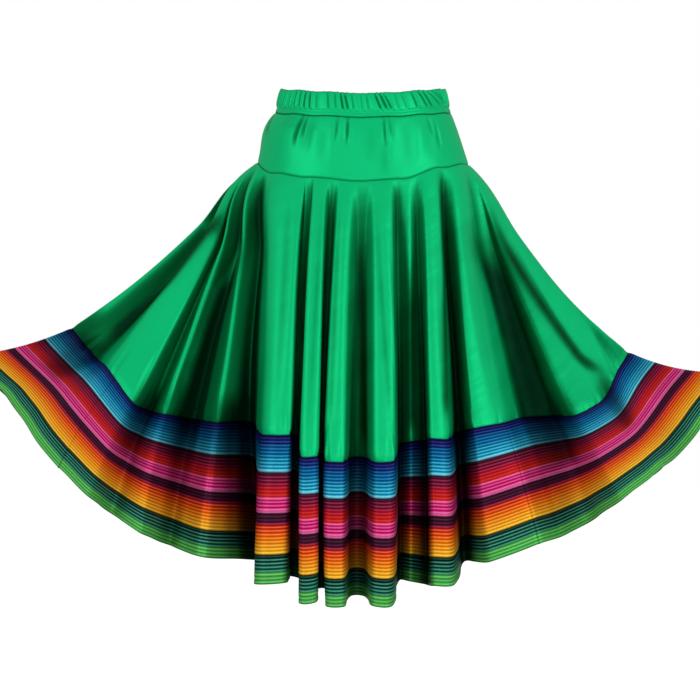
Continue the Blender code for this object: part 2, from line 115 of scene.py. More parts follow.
# The crests and valleys of the cloth, in turn round the figure. Each leaves the yoke seam at
# its direction, crosses the border's seam and ends on the hem.
Fold = namedtuple("Fold", "name direction seam_x seam_y seam_z hem_x hem_y hem_z")
FOLDS = [
    Fold("left_tip", 171, -0.425, -0.080, -0.341, -0.573, -0.160, -0.382),
    Fold("left_tip_valley", 174.5, -0.392, -0.075, -0.382, -0.508, -0.190, -0.432),
    Fold("left_swag_upper", 177.5, -0.367, -0.130, -0.399, -0.439, -0.250, -0.514),
    Fold("left_swag", 181, -0.327, -0.165, -0.447, -0.378, -0.285, -0.569),
    Fold("left_swag_dip", 184.5, -0.307, -0.125, -0.460, -0.349, -0.235, -0.600),
    Fold("left_middle", 187.5, -0.283, -0.155, -0.464, -0.306, -0.270, -0.623),
    Fold("left_middle_valley", 192, -0.243, -0.110, -0.473, -0.271, -0.210, -0.646),
    Fold("left_inner", 198, -0.206, -0.200, -0.474, -0.220, -0.275, -0.656),
    Fold("left_inner_valley", 205, -0.163, -0.130, -0.476, -0.143, -0.190, -0.671),
    Fold("wide_left", 216, -0.141, -0.235, -0.490, -0.150, -0.285, -0.691),
    Fold("wide_right", 234.5, -0.102, -0.250, -0.490, -0.107, -0.290, -0.689),
    Fold("thin_valley_left", 238.5, -0.101, -0.195, -0.490, -0.102, -0.220, -0.688),
    Fold("thin_valley_right", 241.5, -0.083, -0.195, -0.500, -0.083, -0.225, -0.696),
    Fold("thin_left", 244, -0.088, -0.270, -0.518, -0.087, -0.310, -0.714),
    Fold("thin_right", 249.5, -0.063, -0.270, -0.518, -0.063, -0.310, -0.712),
    Fold("middle_valley_left", 252.5, -0.067, -0.200, -0.518, -0.068, -0.225, -0.706),
    Fold("middle_valley_right", 255, -0.052, -0.200, -0.520, -0.050, -0.225, -0.706),
    Fold("middle_left", 258, -0.055, -0.265, -0.525, -0.053, -0.305, -0.718),
    Fold("middle_left_inner", 263.5, -0.028, -0.270, -0.526, -0.029, -0.310, -0.719),
    Fold("recess_left", 267.5, -0.018, -0.222, -0.522, -0.019, -0.258, -0.711),
    Fold("recess_right", 272, 0.000, -0.222, -0.522, -0.001, -0.258, -0.711),
    Fold("middle_right_inner", 276, 0.014, -0.270, -0.526, 0.012, -0.310, -0.718),
    Fold("middle_right", 283.5, 0.042, -0.265, -0.524, 0.038, -0.305, -0.718),
    Fold("dark_valley", 288, 0.049, -0.190, -0.506, 0.048, -0.215, -0.695),
    Fold("dark_face", 294, 0.066, -0.200, -0.501, 0.065, -0.225, -0.695),
    Fold("dark_edge", 299, 0.087, -0.185, -0.500, 0.089, -0.212, -0.701),
    Fold("right_left", 303.5, 0.091, -0.245, -0.495, 0.093, -0.285, -0.694),
    Fold("right_right", 311, 0.117, -0.240, -0.496, 0.123, -0.280, -0.693),
    Fold("right_inner_valley", 316.5, 0.134, -0.175, -0.489, 0.140, -0.215, -0.668),
    Fold("right_inner", 324, 0.153, -0.228, -0.481, 0.170, -0.280, -0.662),
    Fold("right_join_crest", 332.5, 0.197, -0.205, -0.474, 0.237, -0.285, -0.637),
    Fold("right_swag_valley_left", 338, 0.230, -0.135, -0.469, 0.274, -0.235, -0.631),
    Fold("right_swag_valley_right", 342.5, 0.270, -0.130, -0.467, 0.314, -0.240, -0.609),
    Fold("right_swag", 347, 0.296, -0.180, -0.465, 0.348, -0.300, -0.575),
    Fold("right_swag_upper", 351.5, 0.342, -0.150, -0.442, 0.402, -0.265, -0.539),
    Fold("right_tip_valley", 356.5, 0.368, -0.105, -0.402, 0.451, -0.200, -0.509),
    Fold("right_tip", 364, 0.385, -0.085, -0.376, 0.532, -0.170, -0.404),
    Fold("back_1_valley", 375, 0.355, -0.025, -0.398, 0.480, -0.030, -0.480),
    Fold("back_1_right", 382, 0.345, 0.040, -0.420, 0.462, 0.080, -0.555),
    Fold("back_1_left", 389, 0.315, 0.085, -0.440, 0.415, 0.150, -0.592),
    Fold("back_2_valley", 395, 0.268, 0.085, -0.463, 0.350, 0.125, -0.620),
    Fold("back_2_right", 401, 0.250, 0.145, -0.478, 0.318, 0.215, -0.645),
    Fold("back_2_left", 408, 0.212, 0.180, -0.490, 0.262, 0.255, -0.664),
    Fold("back_3_valley", 414, 0.178, 0.150, -0.498, 0.216, 0.190, -0.673),
    Fold("back_3_right", 420, 0.160, 0.205, -0.502, 0.192, 0.265, -0.688),
    Fold("back_3_left", 427, 0.120, 0.232, -0.507, 0.142, 0.295, -0.699),
    Fold("back_4_valley", 432, 0.095, 0.180, -0.511, 0.112, 0.218, -0.698),
    Fold("back_4_right", 438, 0.070, 0.237, -0.513, 0.082, 0.294, -0.707),
    Fold("back_4_left", 445, 0.027, 0.247, -0.516, 0.033, 0.306, -0.712),
    Fold("back_5_valley", 450, 0.000, 0.195, -0.517, 0.000, 0.235, -0.708),
    Fold("back_5_right", 455, -0.027, 0.245, -0.516, -0.032, 0.302, -0.712),
    Fold("back_5_left", 462, -0.070, 0.238, -0.512, -0.083, 0.298, -0.706),
    Fold("back_6_valley", 468, -0.097, 0.180, -0.509, -0.115, 0.220, -0.697),
    Fold("back_6_right", 473, -0.124, 0.230, -0.506, -0.147, 0.290, -0.697),
    Fold("back_6_left", 480, -0.164, 0.206, -0.499, -0.197, 0.266, -0.685),
    Fold("back_7_valley", 486, -0.190, 0.150, -0.492, -0.228, 0.190, -0.671),
    Fold("back_7_right", 492, -0.230, 0.178, -0.477, -0.283, 0.243, -0.656),
    Fold("back_7_left", 499, -0.270, 0.145, -0.460, -0.335, 0.205, -0.632),
    Fold("back_8_valley", 505, -0.300, 0.085, -0.443, -0.375, 0.120, -0.598),
    Fold("back_8_right", 511, -0.345, 0.072, -0.420, -0.435, 0.118, -0.562),
    Fold("back_8_left", 518, -0.378, 0.035, -0.397, -0.480, 0.065, -0.522),
    Fold("back_9_valley", 525, -0.396, -0.015, -0.373, -0.512, -0.055, -0.455),
]
FOLD_COUNT = len(FOLDS)
LEFT_SIDE = 0
RIGHT_SIDE = 36
LEFT_JOIN = 2 + 1 / 3
RIGHT_JOIN = 30
BACK_JOIN = 47 + 2 / 3


# The surface of the cloth


def ease(x):
    """0 below 0, 1 above 1, and smooth between."""
    x = np.clip(x, 0, 1)
    return x * x * (3 - 2 * x)


def unit(vectors):
    """Vectors of length 1, or none where there was none."""
    lengths = np.linalg.norm(vectors, axis=-1, keepdims=True)
    return vectors / np.maximum(lengths, TINY)


def height_at(direction, column):
    """A value from the table above, eased from row to row."""
    direction = 180 + (direction - 180) % 360
    rows = np.array([row.direction for row in HEIGHTS], float)
    heights = np.array([getattr(row, column) for row in HEIGHTS])
    low = np.clip(np.searchsorted(rows, direction, side="right") - 1, 0, len(rows) - 2)
    share = ease((direction - rows[low]) / (rows[low + 1] - rows[low]))
    return heights[low] * (1 - share) + heights[low + 1] * share


def oval(direction, half_width, half_depth, height):
    """Points on an upright oval round the figure."""
    angle = np.radians(direction)
    sides = half_width * np.cos(angle), half_depth * np.sin(angle), height
    return np.stack(np.broadcast_arrays(*sides), -1)


def puff(t):
    """How cloth springs out below a seam: 0 there, 1 a third of the way, 0 at the end."""
    t = np.clip(t, 0, 1)
    return t * (1 - t) ** 2 * 27 / 4


def band_surface(direction, share):
    """The waistband's middle surface: share 0 is its top edge and 1 its lower edge."""
    flare = BAND_FLARE * share
    height = height_at(direction, "band_middle") + BAND_HEIGHT * (0.5 - share)
    return oval(direction, WAIST_HALF_WIDTH + flare, WAIST_HALF_DEPTH + flare, height)


def yoke_surface(direction, share):
    """The yoke's middle surface: share 0 is at the waistband and 1 at the yoke seam."""
    bulge = height_at(direction, "yoke_puff") * puff(share)
    top_width = WAIST_HALF_WIDTH + BAND_FLARE
    top_depth = WAIST_HALF_DEPTH + BAND_FLARE
    half_width = top_width + (HIP_HALF_WIDTH - top_width) * share + bulge
    half_depth = top_depth + (HIP_HALF_DEPTH - top_depth) * share + bulge
    top = height_at(direction, "band_middle") - BAND_HEIGHT / 2
    bottom = height_at(direction, "yoke_seam")
    return oval(direction, half_width, half_depth, top + (bottom - top) * share)


def arch(start, control, end, t):
    """A parabola from start to end, pulled towards control."""
    return start * (1 - t) ** 2 + control * 2 * t * (1 - t) + end * t * t


def crest_heights(seams):
    """1 for a full crest, -1 for a full valley, by how far each stands out of the line
    between its neighbours."""
    between = (np.roll(seams, 1, 0) + np.roll(seams, -1, 0)) / 2
    beyond = np.linalg.norm(seams[:, :2], axis=1) - np.linalg.norm(between[:, :2], axis=1)
    return np.clip(beyond / FULL_FOLD, -1, 1)


def fold_curves(shares):
    """A row for each share of the cloth's length, with the points of all crests and valleys
    there. Each is an arch down to the border's seam and a flatter one to the hem."""
    table = np.array([fold[1:] for fold in FOLDS], float)
    starts = yoke_surface(table[:, 0], 1)
    seams = table[:, 1:4]
    hems = table[:, 4:7]
    lean = unit(hems - starts)
    border_lean = unit(lean + BORDER_STIFFNESS * unit(hems - seams))
    above = seams - lean * np.linalg.norm(seams - starts, axis=1, keepdims=True) / 2
    below = seams + border_lean * np.linalg.norm(hems - seams, axis=1, keepdims=True) / 2
    level_share = np.linalg.norm(unit(hems - seams)[:, :2], axis=1)
    lift = np.clip(level_share - LEAN_WITHOUT_LIFT, 0, BORDER_LIFT)
    sag = BORDER_SAG * BORDER_WIDTH * ease((level_share - LEAN_TO_SAG) / (1 - LEAN_TO_SAG))
    below[:, 2] += lift * (seams - hems)[:, 2] - sag
    share = np.asarray(shares)[:, None, None]
    out = unit(starts * [HIP_HALF_DEPTH, HIP_HALF_WIDTH, 0])
    bloom = FOLD_BLOOM * crest_heights(seams)[:, None] * puff(share / BLOOM_END)
    towards = np.cos(np.radians(table[:, :1]))
    sideways = np.abs(towards) ** SIDE_POWER * np.where(towards > 0, RIGHT_PUFF, 1)
    spring = out * (SKIRT_PUFF * sideways * puff(share / SKIRT_PUFF_END) + bloom)
    upper = arch(starts, above, seams, share / BORDER_SEAM) + spring
    lower = arch(seams, below, hems, (share - BORDER_SEAM) / (1 - BORDER_SEAM))
    return starts, np.where(share < BORDER_SEAM, upper, lower)


def wave(before, after, slope_before, slope_after, t):
    """A cubic from one fold to the next, with the slope that each fold gives it."""
    rise = t * t * (3 - 2 * t)
    sway = slope_before * t * (1 - t) ** 2 - slope_after * t * t * (1 - t)
    return before * (1 - rise) + after * rise + sway


def spans(points, axis):
    """From each fold's neighbour before it to its neighbour after it."""
    return np.roll(points, -1, axis) - np.roll(points, 1, axis)


def direction_at(places):
    """The direction in which the cloth at each place leaves the yoke."""
    index = np.floor(places).astype(int)
    directions = np.array([fold.direction for fold in FOLDS], float)

    def of(fold):
        return directions[fold % FOLD_COUNT] + 360 * (fold // FOLD_COUNT)

    before = (of(index + 1) - of(index - 1)) / 2
    after = (of(index + 2) - of(index)) / 2
    return wave(of(index), of(index + 1), before, after, places - index)


def place_at(direction):
    """The place whose cloth leaves the yoke in a direction from 172 to 532 degrees."""
    places = np.linspace(0, FOLD_COUNT, FOLD_COUNT * FINE_STEPS_PER_FOLD + 1)
    return np.interp(direction, direction_at(places), places)


def skirt_surface(places, shares):
    """The middle surface of skirt and border: share 0 is at the yoke seam and 1 at the hem.
    The folds grow from nothing at the seam."""
    index = np.floor(places).astype(int)
    a = index % FOLD_COUNT
    b = (index + 1) % FOLD_COUNT
    starts, curves = fold_curves(shares)
    squareness = 0.5 + (SQUARENESS - 0.5) * ease(np.asarray(shares) / SQUARE_FROM)
    slopes = squareness[:, None, None] * spans(curves, 1) - 0.5 * spans(starts, 0)
    moved = curves - starts
    t = (places - index)[None, :, None]
    waves = wave(moved[:, a], moved[:, b], slopes[:, a], slopes[:, b], t)
    return yoke_surface(direction_at(places), 1) + waves


def garment(places, levels):
    """Middle points of the cloth: a row for each level, a column for each place."""
    direction = direction_at(places)[None, :]
    level = levels[:, None]
    band = band_surface(direction, np.clip(level, 0, 1))
    yoke = yoke_surface(direction, np.clip(level - 1, 0, 1))
    skirt = skirt_surface(places, np.clip(levels - 2, 0, 1))
    zone = level[..., None]
    return np.where(zone < 1, band, np.where(zone < 2, yoke, skirt))


SMALL_STEP = 0.002


def cloth_normals(places, levels):
    """Outward normals of the cloth's middle surface, one-sided at the yoke seam."""
    along = unit(garment(places + SMALL_STEP, levels) - garment(places - SMALL_STEP, levels))
    above = garment(places, levels - SMALL_STEP)
    below = garment(places, levels + SMALL_STEP)
    return unit(np.cross(unit(below - above), along))


def travelled(points, axis):
    """Metres from the first point along a grid's rows or columns."""
    steps = np.linalg.norm(np.diff(points, axis=axis), axis=-1)
    start = np.zeros_like(np.take(steps, [0], axis))
    return np.concatenate([start, np.cumsum(steps, axis)], axis)


# One piece's cloth: its middle points and normals, a row for each level and a column for
# each place, and how many metres each point lies along and down the piece.
Grid = namedtuple("Grid", "places levels middle normals along down")

FINE_STEPS_PER_FOLD = 40
EVEN_SHARE = 0.65


def make_grid(places, levels):
    """The grid of a piece at these places and levels."""
    middle = garment(places, levels)
    normals = cloth_normals(places, levels)
    return Grid(places, levels, middle, normals, travelled(middle, 1), travelled(middle, 0))


def panel_grid(start, end, levels, columns):
    """The grid of a flat-cut piece, whose columns are nearly as even in metres along its
    lower edge as they are in places."""
    fine = np.linspace(start, end, round((end - start) * FINE_STEPS_PER_FOLD) + 1)
    metres_along = travelled(garment(fine, levels[-1:]), 1)[0]
    even = metres_along / metres_along[-1]
    share = EVEN_SHARE * even + (1 - EVEN_SHARE) * (fine - start) / (end - start)
    places = np.interp(np.linspace(0, 1, columns + 1), share, fine)
    return make_grid(places, levels)


def rows_between(top, bottom, count, crowding):
    """Levels from top to bottom, crowded together at both ends."""
    t = np.linspace(0, 1, count + 1)
    return top + (bottom - top) * (t - crowding * np.sin(2 * np.pi * t) / (2 * np.pi))


# The painted shade of the folds

SHADE_COLUMNS_PER_FOLD = 12
SHADE_FOLDS_ROUND = 3
SHADE_SPREAD = 0.8
SHADE_RISE = 0.004
TOP_SHADE_DEPTH = 0.006
SHADE_DEPTH = 0.020
SHADE_DEPTH_TO = 0.30
FLANK_SHADE = 0.30
FLANK_POWER = 3
HELD_OUT_FROM = 0.17
HELD_OUT_REACH = 0.10
OPEN_REACH = 0.25
OPEN_SHARE = 0.75

# A soft line of deeper shade, or with a strength below 0 of light, down the cloth. It goes
# through points of level and place, and its width is in metres.
Streak = namedtuple("Streak", "points width strength")
STREAKS = [
    Streak([(2.04, 4.60), (2.23, 1.87), (2.39, 1.70), (2.52, 1.03), (2.64, 0.87)], 0.017, 0.90),
    Streak([(2.06, 5.03), (2.23, -0.03), (2.43, -0.03), (2.63, 0.17)], 0.014, -0.75),
    Streak([(2.07, 7.40), (2.34, 5.40), (2.64, 5.33)], 0.008, -0.50),
    Streak([(2.20, 5.07), (2.43, 4.20), (2.66, 4.10)], 0.012, -0.60),
    Streak([(2.12, 7.70), (2.32, 7.43), (2.46, 7.43), (2.66, 7.40)], 0.021, -0.62),
    Streak([(2.14, 7.37), (2.39, 5.97), (2.66, 5.93)], 0.010, 0.60),
    Streak([(2.12, 30.13), (2.34, 31.53), (2.48, 31.77), (2.72, 31.80)], 0.035, 0.94),
    Streak([(2.07, 32.97), (2.27, 33.50), (2.43, 33.80), (2.56, 34.03), (2.65, 34.53)], 0.011, 0.80),
    Streak([(2.03, 19.20), (2.29, 19.63), (2.68, 20.23)], 0.012, 0.85),
    Streak([(2.07, 11.40), (2.37, 11.30), (2.66, 12.87)], 0.008, 0.60),
    Streak([(2.05, 15.23), (2.34, 15.33), (2.66, 16.80)], 0.008, 0.60),
    Streak([(2.37, 2.53), (2.52, 2.40), (2.66, 2.30)], 0.012, -0.40),
    Streak([(2.12, 28.13), (2.35, 27.17), (2.64, 26.90)], 0.007, 0.60),
    Streak([(2.19, 24.17), (2.43, 24.07), (2.67, 24.07)], 0.013, 0.65),
    Streak([(2.58, 3.50), (2.86, 3.65)], 0.026, 0.60),
    Streak([(2.60, 0.50), (2.84, 0.85)], 0.022, 0.65),
    Streak([(2.58, 5.50), (2.82, 5.50)], 0.018, 0.50),
    Streak([(2.58, 7.45), (2.84, 7.30)], 0.028, 0.60),
    Streak([(2.58, 32.10), (2.86, 31.90)], 0.040, 0.88),
    Streak([(2.60, 34.35), (2.84, 34.05)], 0.022, 0.70),
]
STREAK_FADE_IN = 0.35
STREAK_FADE_OUT = 0.12


def smoothed(values):
    """Values averaged along their columns with a bell as wide as most folds."""
    spread = SHADE_SPREAD * SHADE_COLUMNS_PER_FOLD
    reach = int(spread * 3)
    bell = np.exp(-0.5 * (np.arange(-reach, reach + 1) / spread) ** 2)
    padded = np.pad(values, ((0, 0), (reach, reach), (0, 0)), mode="edge")
    return np.apply_along_axis(np.convolve, 1, padded, bell / bell.sum(), mode="valid")


def fold_shade(grid):
    """How much painted light the folds let in at each point: 0 deep in a valley and 1 on a crest.
    A point's height is taken from the cloth round it, and flanks turn away."""
    first = np.floor(grid.places[0]) - SHADE_FOLDS_ROUND
    last = np.ceil(grid.places[-1]) + SHADE_FOLDS_ROUND
    places = np.arange(first, last, 1 / SHADE_COLUMNS_PER_FOLD)
    points = garment(places, grid.levels)
    normals = cloth_normals(places, grid.levels)
    outward = unit(smoothed(normals))
    height = ((points - smoothed(points)) * outward).sum(-1)
    facing = np.clip((normals * outward).sum(-1), 0, 1)
    way_down = ease((grid.levels[:, None] - 2) / SHADE_DEPTH_TO)
    depth = TOP_SHADE_DEPTH + (SHADE_DEPTH - TOP_SHADE_DEPTH) * way_down
    lit = ease((height + depth) / (depth + SHADE_RISE))
    top_lit = ease(TOP_SHADE_DEPTH / (TOP_SHADE_DEPTH + SHADE_RISE))
    flanks = FLANK_SHADE + (1 - FLANK_SHADE) * facing**FLANK_POWER
    shade = np.clip(lit / top_lit, 0, 1) * flanks
    held_out = ease((np.abs(points[..., :1].squeeze(-1)) - HELD_OUT_FROM) / HELD_OUT_REACH)
    open_to_light = held_out * ease((grid.levels[:, None] - 2 - BORDER_SEAM) / OPEN_REACH)
    shade = 1 - (1 - shade) * (1 - OPEN_SHARE * open_to_light)
    return streaked(np.stack([np.interp(grid.places, places, row) for row in shade]), grid)


def streaked(shade, grid):
    """The shade with its listed streaks."""
    speed = np.gradient(grid.along, grid.places, axis=1)
    for streak in STREAKS:
        levels, places = np.array(streak.points).T
        t = (grid.levels - levels[0]) / (levels[-1] - levels[0])
        fade = (ease(t / STREAK_FADE_IN) * ease((1 - t) / STREAK_FADE_OUT))[:, None]
        apart = places_apart(grid.places, np.interp(grid.levels, levels, places))
        strength = fade * np.exp(-((apart * speed / streak.width) ** 2)) * abs(streak.strength)
        shade = shade * (1 - strength) + (strength if streak.strength < 0 else 0)
    return shade


# Fine relief, in metres out of the cloth. Creases also get painted shade where they sink,
# and seams don't.
Relief = namedtuple("Relief", "creases seams")


def groove(distance, depth, width):
    """The dip of a seam at a distance from its line."""
    return -depth * np.exp(-((distance / width) ** 2))


def places_apart(places, centres):
    """How many places lie between each of these places and each centre, round the figure."""
    apart = places[None, :] - np.asarray(centres)[:, None]
    return apart - FOLD_COUNT * np.round(apart / FOLD_COUNT)


# Short troughs that a seam draws into the cloth: where they lie, how wide they are in
# places, how far they reach in metres and how deep they are.
Puckers = namedtuple("Puckers", "places widths reaches depths")


def seam_puckers(level, spacing, width, reach, depth, seed):
    """Puckers all round the seam at a level, as uneven as hand-fed cloth makes them."""
    random = np.random.default_rng(seed)
    fine = np.linspace(0, FOLD_COUNT, FOLD_COUNT * FINE_STEPS_PER_FOLD + 1)
    metres_along = travelled(garment(fine, np.array([level])), 1)[0]
    count = int(metres_along[-1] / spacing)
    at = np.sort(random.uniform(0, metres_along[-1], count))
    places = np.interp(at, metres_along, fine)
    speed = np.interp(places, fine[1:], np.diff(metres_along) / np.diff(fine))
    widths = width * random.uniform(0.6, 1.4, count) / np.maximum(speed, spacing)
    reaches = reach * random.uniform(0.35, 1.5, count) ** 2
    depths = depth * random.uniform(-1.0, 1.2, count)
    return Puckers(places, widths, reaches, depths)


def pucker_relief(puckers, places, distance, reach_factor=1):
    """The relief of puckers at these places, and at a distance from their seam by row."""
    apart = places_apart(places, puckers.places)
    bells = np.exp(-((apart / puckers.widths[:, None]) ** 2)) * puckers.depths[:, None]
    fading = np.clip(1 - distance[:, None] / (puckers.reaches * reach_factor), 0, 1) ** 1.5
    return -fading @ bells


# A soft trough, or with a depth below 0 a ridge, from one point of the cloth to another. Its
# width and depth are in metres.
Crease = namedtuple("Crease", "place level end_place end_level width depth")
CREASE_RIDGE = 0.4
CREASE_RIDGE_AT = 1.8


def crease_relief(creases, grid):
    """Creases that follow their lines and fade at both ends."""
    speed = np.gradient(grid.along, grid.places, axis=1)
    relief = np.zeros(grid.along.shape)
    for crease in creases:
        t = (grid.levels - crease.level) / (crease.end_level - crease.level)
        rows = np.flatnonzero((t > 0) & (t < 1))
        if not len(rows):
            continue
        middle = crease.place + (crease.end_place - crease.place) * t[rows]
        apart = places_apart(grid.places, middle)
        nearest = np.abs(apart).argmin(axis=1)
        across = apart * speed[rows, nearest][:, None] / crease.width
        strength = np.sin(np.pi * t[rows])[:, None] ** 0.7
        cut = np.exp(-(across**2)) - CREASE_RIDGE * np.exp(-((across - CREASE_RIDGE_AT) ** 2))
        relief[rows] -= crease.depth * strength * cut
    return relief


# Shader nodes, written as arithmetic


class Signal:
    """A value that changes over the cloth. Arithmetic on it adds Math nodes."""

    def __init__(self, paint, socket):
        self.paint = paint
        self.socket = socket

    def maths(self, operation, *values):
        """A Math node on these values."""
        sockets = dict(enumerate(values))
        return self.paint.node("ShaderNodeMath", {"operation": operation}, sockets)

    def clamped(self):
        """This value, kept from 0 to 1."""
        return self.paint.node("ShaderNodeClamp", {}, {0: self})

    def __add__(self, other):
        return self.maths("ADD", self, other)

    def __sub__(self, other):
        return self.maths("SUBTRACT", self, other)

    def __rsub__(self, other):
        return self.maths("SUBTRACT", other, self)

    def __mul__(self, other):
        return self.maths("MULTIPLY", self, other)

    def __truediv__(self, other):
        return self.maths("DIVIDE", self, other)

    def __pow__(self, other):
        return self.maths("POWER", self, other)

    __radd__ = __add__
    __rmul__ = __mul__


class Paint:
    """The nodes of one material or of the surroundings, round the shader they feed."""

    def __init__(self, block, shader_name):
        block.use_nodes = True
        self.block = block
        self.tree = block.node_tree
        self.shader = self.tree.nodes[shader_name]

    def feed(self, node, sockets):
        """Values and links for a node's sockets, by name or number."""
        for name, value in sockets.items():
            if isinstance(value, Signal):
                self.tree.links.new(value.socket, node.inputs[name])
            else:
                node.inputs[name].default_value = value

    def node(self, kind, settings, sockets, output=0):
        """A new node with its settings, then its sockets. Returns one of its outputs."""
        node = self.tree.nodes.new(kind)
        for name, value in settings.items():
            if name == "stops":
                set_stops(node.color_ramp, value)
            else:
                setattr(node, name, value)
        self.feed(node, sockets)
        return Signal(self, node.outputs[output])

    def mix(self, share, first, second, blend="MIX"):
        """A colour between two, or the two multiplied."""
        settings = {"data_type": "RGBA", "blend_type": blend}
        return self.node("ShaderNodeMix", settings, {0: share, 6: first, 7: second}, 2)

    def attribute(self, name):
        """A number kept at the mesh's points."""
        settings = {"attribute_name": name}
        return self.node("ShaderNodeAttribute", settings, {}, "Fac")

    def cloth_metres(self):
        """How far along and down the piece a point is, in metres, as two signals."""
        uv = self.node("ShaderNodeUVMap", {"uv_map": UV_NAME}, {})
        split = self.node("ShaderNodeSeparateXYZ", {}, {0: uv})
        return split, Signal(self, split.socket.node.outputs[1])

    def noise(self, along, down, detail):
        """Noise from -1 to 1 over stretched cloth coordinates."""
        where = self.node("ShaderNodeCombineXYZ", {}, {0: along, 1: down})
        sockets = {"Vector": where, "Scale": 1.0, "Detail": detail}
        return self.node("ShaderNodeTexNoise", {}, sockets) * 2 - 1

    def smooth(self, value, low, high):
        """0 at low, 1 at high, and smooth between."""
        settings = {"interpolation_type": "SMOOTHSTEP"}
        return self.node("ShaderNodeMapRange", settings, {0: value, 1: low, 2: high})

    def bump(self, height, distance, under=None):
        """A bumped normal, over another one if it is given."""
        sockets = {"Height": height, "Strength": 1.0, "Distance": distance}
        if under:
            sockets["Normal"] = under
        return self.node("ShaderNodeBump", {}, sockets)


def set_stops(ramp, stops):
    """A colour ramp's stops, each a position and a colour."""
    while len(ramp.elements) > 1:
        ramp.elements.remove(ramp.elements[-1])
    ramp.elements[0].position, ramp.elements[0].color = stops[0]
    for position, colour_there in stops[1:]:
        ramp.elements.new(position).color = colour_there


# Satin

UV_NAME = "cloth"
SHADE_NAME = "fold_shade"
# The width and strength of a line of painted shade along the seams.
SEAM_SHADE_WIDTH = 0.0017
SEAM_SHADE_STRENGTH = 0.55
SATIN_SPECULAR = 0.03
# How far soft random bands of painted light and shade move the satin's painted shade.
LIGHT_MOTTLE = 0.10


def screen_colour(red, green, blue, strength=1.0):
    """A colour as it looks on a screen, 0 to 255, as the shader's linear one."""
    shares = np.array([red, green, blue]) / 255
    linear = np.where(shares < 0.04045, shares / 12.92, ((shares + 0.055) / 1.055) ** 2.4)
    return (*linear.tolist(), strength)


def weave_bump(paint, along, down):
    """The fine grain of a satin weave over soft handling marks."""
    grain = paint.noise(along * 900, down * 2600, 2.0)
    marks = paint.noise(along * 14, down * 4, 2.0)
    soft = paint.bump(marks, 0.0010)
    return paint.bump(grain, 0.00004, soft)


def green_satin(name, length, bottom_line, colours):
    """Green satin, painted with shade that makes it nearly black in its valleys and with a line
    of shade along the stitching of its upper seam and, if bottom_line is 1, of its lower one."""
    paint = Paint(bpy.data.materials.new(name), "Principled BSDF")
    along, down = paint.cloth_metres()
    # Painted shade of the folds, from the green deep in a valley to the lit green.
    shade = paint.attribute(SHADE_NAME)
    # Soft random bands of painted light and shade over the faces; the same noise varies the gloss.
    light_and_gloss_mottle = paint.noise(along * 9, down * 3, 3.0)
    lit = (shade + light_and_gloss_mottle * LIGHT_MOTTLE - LIGHT_MOTTLE / 2).clamped()
    deep = (*colours.deep_shade_green, 1)
    mid = (*colours.half_shade_green, 1)
    middle = paint.mix(paint.smooth(lit, 0.0, 0.45), deep, mid)
    body = paint.mix(paint.smooth(lit, 0.35, 1.0), middle, (*colours.green, 1))
    # A line of painted shade, in the green of a fold's flank, along the upper seam and, if asked,
    # the lower one.
    top = paint.smooth(down, SEAM_SHADE_WIDTH, SEAM_SHADE_WIDTH / 2)
    bottom = paint.smooth(length - down, SEAM_SHADE_WIDTH, SEAM_SHADE_WIDTH / 2) * bottom_line
    line = (top + bottom).clamped() * SEAM_SHADE_STRENGTH
    sockets = {
        "Base Color": paint.mix(line, body, mid),
        "Roughness": light_and_gloss_mottle * 0.04 + colours.roughness,
        "Metallic": colours.metallic,
        "Specular IOR Level": SATIN_SPECULAR,
        "Normal": weave_bump(paint, along, down),
    }
    paint.feed(paint.shader, sockets)
    return paint.block


# The border's dyes by share of its width from its seam, and the fine threads woven over
# them, whose last number is how strongly they show.
DYES = [
    (0.000, screen_colour(14, 8, 55)),
    (0.012, screen_colour(26, 14, 90)),
    (0.062, screen_colour(16, 24, 104)),
    (0.074, screen_colour(0, 72, 128)),
    (0.140, screen_colour(0, 92, 148)),
    (0.165, screen_colour(0, 124, 164)),
    (0.236, screen_colour(0, 156, 192)),
    (0.240, screen_colour(120, 215, 232)),
    (0.252, screen_colour(120, 215, 232)),
    (0.256, screen_colour(8, 4, 22)),
    (0.266, screen_colour(12, 4, 20)),
    (0.272, screen_colour(80, 6, 38)),
    (0.325, screen_colour(115, 8, 44)),
    (0.352, screen_colour(178, 12, 40)),
    (0.424, screen_colour(215, 38, 30)),
    (0.430, screen_colour(245, 95, 165)),
    (0.438, screen_colour(245, 95, 165)),
    (0.443, screen_colour(205, 8, 105)),
    (0.500, screen_colour(210, 12, 110)),
    (0.508, screen_colour(245, 105, 170)),
    (0.523, screen_colour(245, 100, 168)),
    (0.530, screen_colour(50, 20, 38)),
    (0.585, screen_colour(52, 16, 40)),
    (0.600, screen_colour(112, 4, 62)),
    (0.618, screen_colour(200, 25, 25)),
    (0.660, screen_colour(232, 62, 12)),
    (0.720, screen_colour(248, 130, 6)),
    (0.800, screen_colour(255, 188, 16)),
    (0.806, screen_colour(4, 20, 18)),
    (0.830, screen_colour(2, 30, 30)),
    (0.915, screen_colour(0, 84, 62)),
    (0.925, screen_colour(66, 180, 74)),
]
